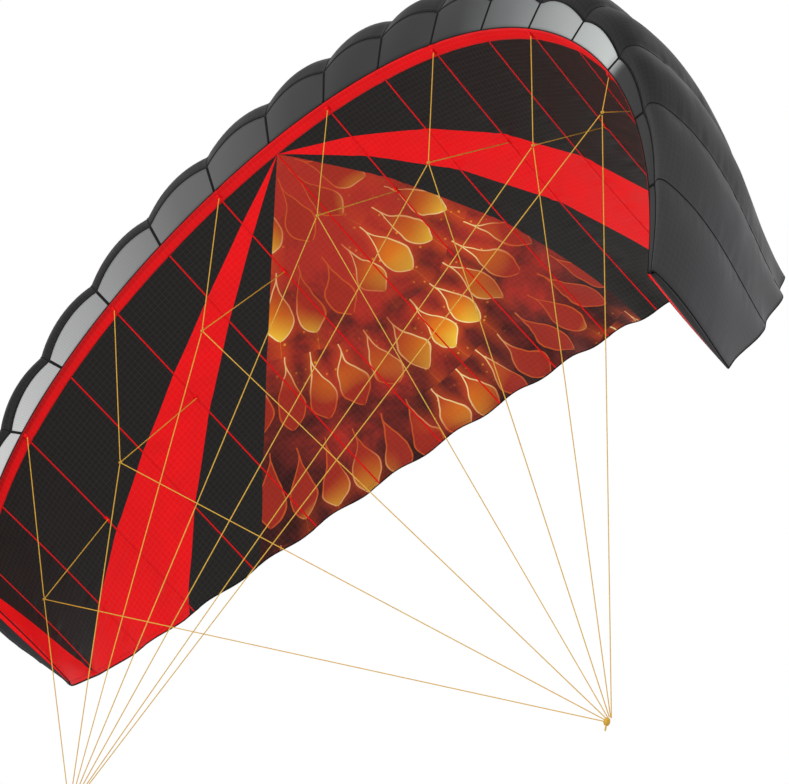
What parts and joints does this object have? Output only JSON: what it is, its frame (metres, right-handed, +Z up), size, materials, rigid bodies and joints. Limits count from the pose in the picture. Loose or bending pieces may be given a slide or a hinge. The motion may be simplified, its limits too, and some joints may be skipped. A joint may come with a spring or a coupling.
{
  "type": "foil kite",
  "caption": "Arched foil kite: a twin-skin ballooned wing with gauze air inlets, red edge bands, and a fan bridle of taut lines gathered at a tow knot on each side.",
  "frame": {"origin": "midway between the left and the right tow knot, where the flying lines pull the kite", "axes": "+X along the span towards the kite's right tip, +Y downwind, away from the flyer, +Z up; the wing is pitched nose up at 45 degrees, as it is while climbing"},
  "size_m": [0.9209, 0.6642, 0.7557],
  "materials": {
    "grey_cloth": "coated ripstop, satin",
    "black_cloth": "coated ripstop, satin",
    "red_cloth": "coated ripstop, satin",
    "gauze": "open mesh",
    "line": "braided polyester line"
  },
  "bodies": {
    "root": {"upper_skin": "grey_cloth", "lower_skin": "black_cloth", "inlet_gauze": "gauze", "front_band": "red_cloth", "tip_band_left": "red_cloth", "tip_band_right": "red_cloth", "rib_01": "black_cloth", "rib_02": "black_cloth", "rib_03": "black_cloth", "rib_04": "black_cloth", "rib_05": "black_cloth", "rib_06": "black_cloth", "rib_07": "black_cloth", "rib_08": "black_cloth", "rib_09": "black_cloth", "rib_10": "black_cloth", "rib_11": "black_cloth", "rib_12": "black_cloth", "rib_13": "black_cloth", "rib_14": "black_cloth", "rib_15": "black_cloth", "rib_16": "black_cloth", "rib_17": "black_cloth", "rib_18": "black_cloth", "rib_19": "black_cloth", "bridle_1": "line", "bridle_2": "line", "bridle_3": "line", "bridle_4": "line", "bridle_5": "line", "bridle_6": "line", "bridle_7": "line", "line_1_left": "line", "line_1_right": "line", "line_2_left": "line", "line_2_right": "line", "line_3_left": "line", "line_3_right": "line", "line_4_left": "line", "line_4_right": "line", "line_5_left": "line", "line_5_right": "line", "line_6_left": "line", "line_6_right": "line", "line_7_left": "line", "line_7_right": "line", "tow_knot_left": "line", "tow_knot_right": "line"}
  },
  "joints": []
}
